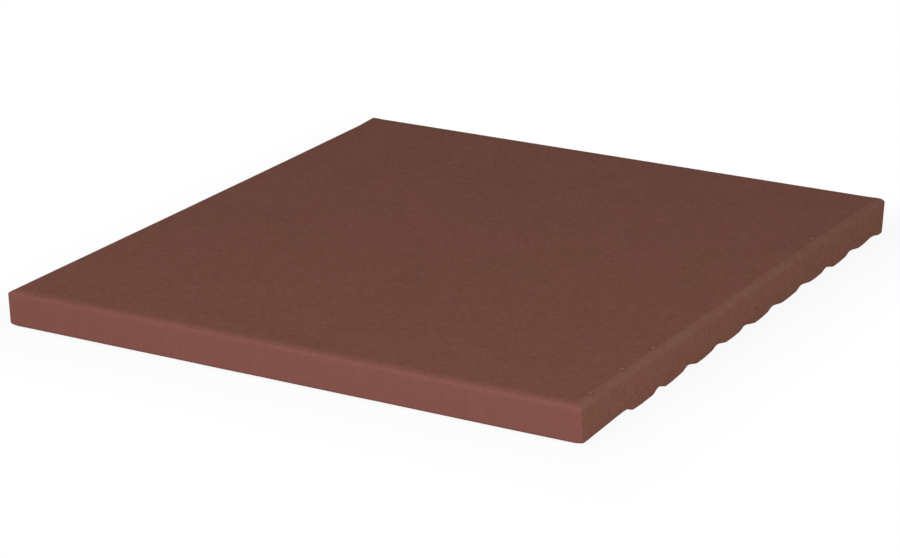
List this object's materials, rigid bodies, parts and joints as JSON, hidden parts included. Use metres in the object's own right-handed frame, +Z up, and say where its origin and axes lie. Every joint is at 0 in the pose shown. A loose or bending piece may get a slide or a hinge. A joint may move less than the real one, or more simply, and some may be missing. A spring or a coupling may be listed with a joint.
{
  "type": "clinker floor tile",
  "caption": "Square extruded clinker floor tile with a plain soft-rimmed wearing face and a shallow ribbed back, bedded in mortar or adhesive as hard-wearing paving.",
  "frame": {"origin": "centre of the tile's footprint, on the plane of the ribs' lands that it lies on", "axes": "+Z up through the wearing face, +X along the extrusion and the ribs, +Y across the ribs, away from the plain margin"},
  "size_m": [0.245, 0.245, 0.015],
  "materials": {
    "fired_clay": "unglazed dark red-brown fired clay, fine grained, faint satin sheen"
  },
  "bodies": {
    "root": {"clinker_tile": "fired_clay"}
  },
  "joints": []
}
